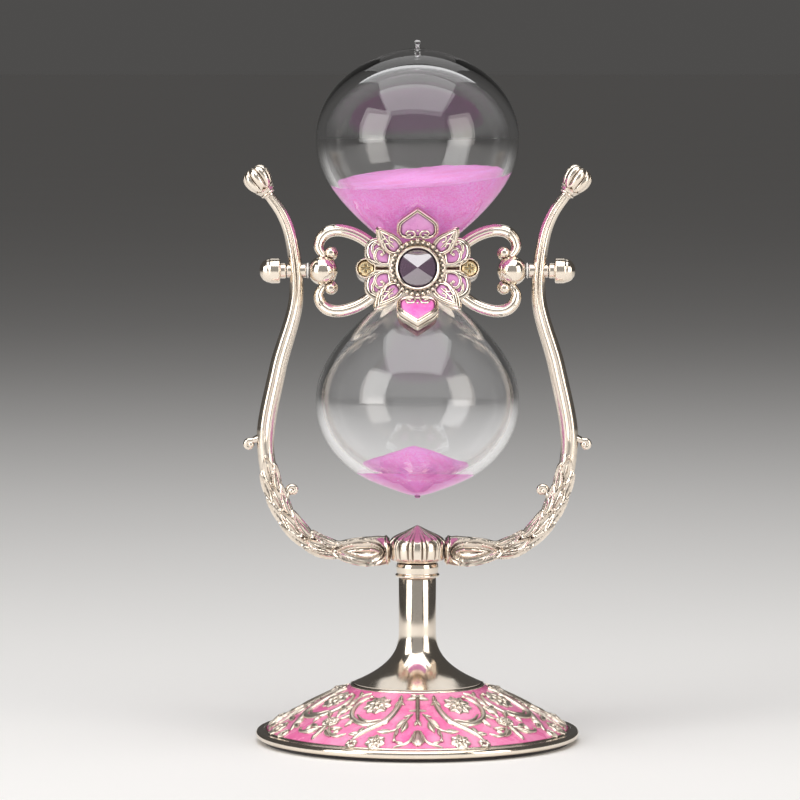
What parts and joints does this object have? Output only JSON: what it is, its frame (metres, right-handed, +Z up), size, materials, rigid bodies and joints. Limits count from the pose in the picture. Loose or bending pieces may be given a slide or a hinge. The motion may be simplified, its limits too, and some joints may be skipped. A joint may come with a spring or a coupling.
{
  "type": "hourglass",
  "caption": "Turn-over sand timer: two sealed glass bulbs clamped at the waist by a flower-shaped plate, pivoting in a lyre yoke on a trumpet stem and domed enamelled base.",
  "frame": {"origin": "centre of the base's underside, on the surface it stands on", "axes": "+Z up, +X to the object's right as seen from the front, -Y towards the front"},
  "size_m": [0.1174, 0.11, 0.2381],
  "materials": {
    "silver": "polished",
    "steel": "satin",
    "brass": "polished",
    "enamel": "gloss",
    "glass": "clear",
    "crystal": "faceted",
    "sand": "granular",
    "rubber": "matte",
    "nylon": "matte",
    "felt": "felt"
  },
  "bodies": {
    "stand": {"felt_pad": "felt", "base_shell": "silver", "enamel_skirt": "enamel", "tie_washer": "steel", "tie_bolt": "steel", "stem": "silver", "hub_collar": "silver", "yoke_hub": "silver", "right_arm": "silver", "left_arm": "silver", "right_finial": "silver", "left_finial": "silver"},
    "tumbler": {"right_pivot_washer": "nylon", "left_pivot_washer": "nylon", "right_pivot_pin": "steel", "left_pivot_pin": "steel", "right_pivot_knob": "silver", "left_pivot_knob": "silver", "right_bracket": "silver", "left_bracket": "silver", "upper_bulb": "glass", "lower_bulb": "glass", "neck_sleeve": "rubber", "upper_sand": "sand", "lower_sand": "sand", "front_clamp_plate": "silver", "rear_clamp_plate": "silver", "front_bezel": "silver", "rear_bezel": "silver", "front_crystal": "crystal", "rear_crystal": "crystal", "right_clamp_screw": "brass", "left_clamp_screw": "brass"}
  },
  "joints": [
    {"name": "flip", "type": "hinge", "parent": "stand", "child": "tumbler", "pos_m": [0, 0, 0.16], "axis": [1, 0, 0], "continuous": true}
  ]
}
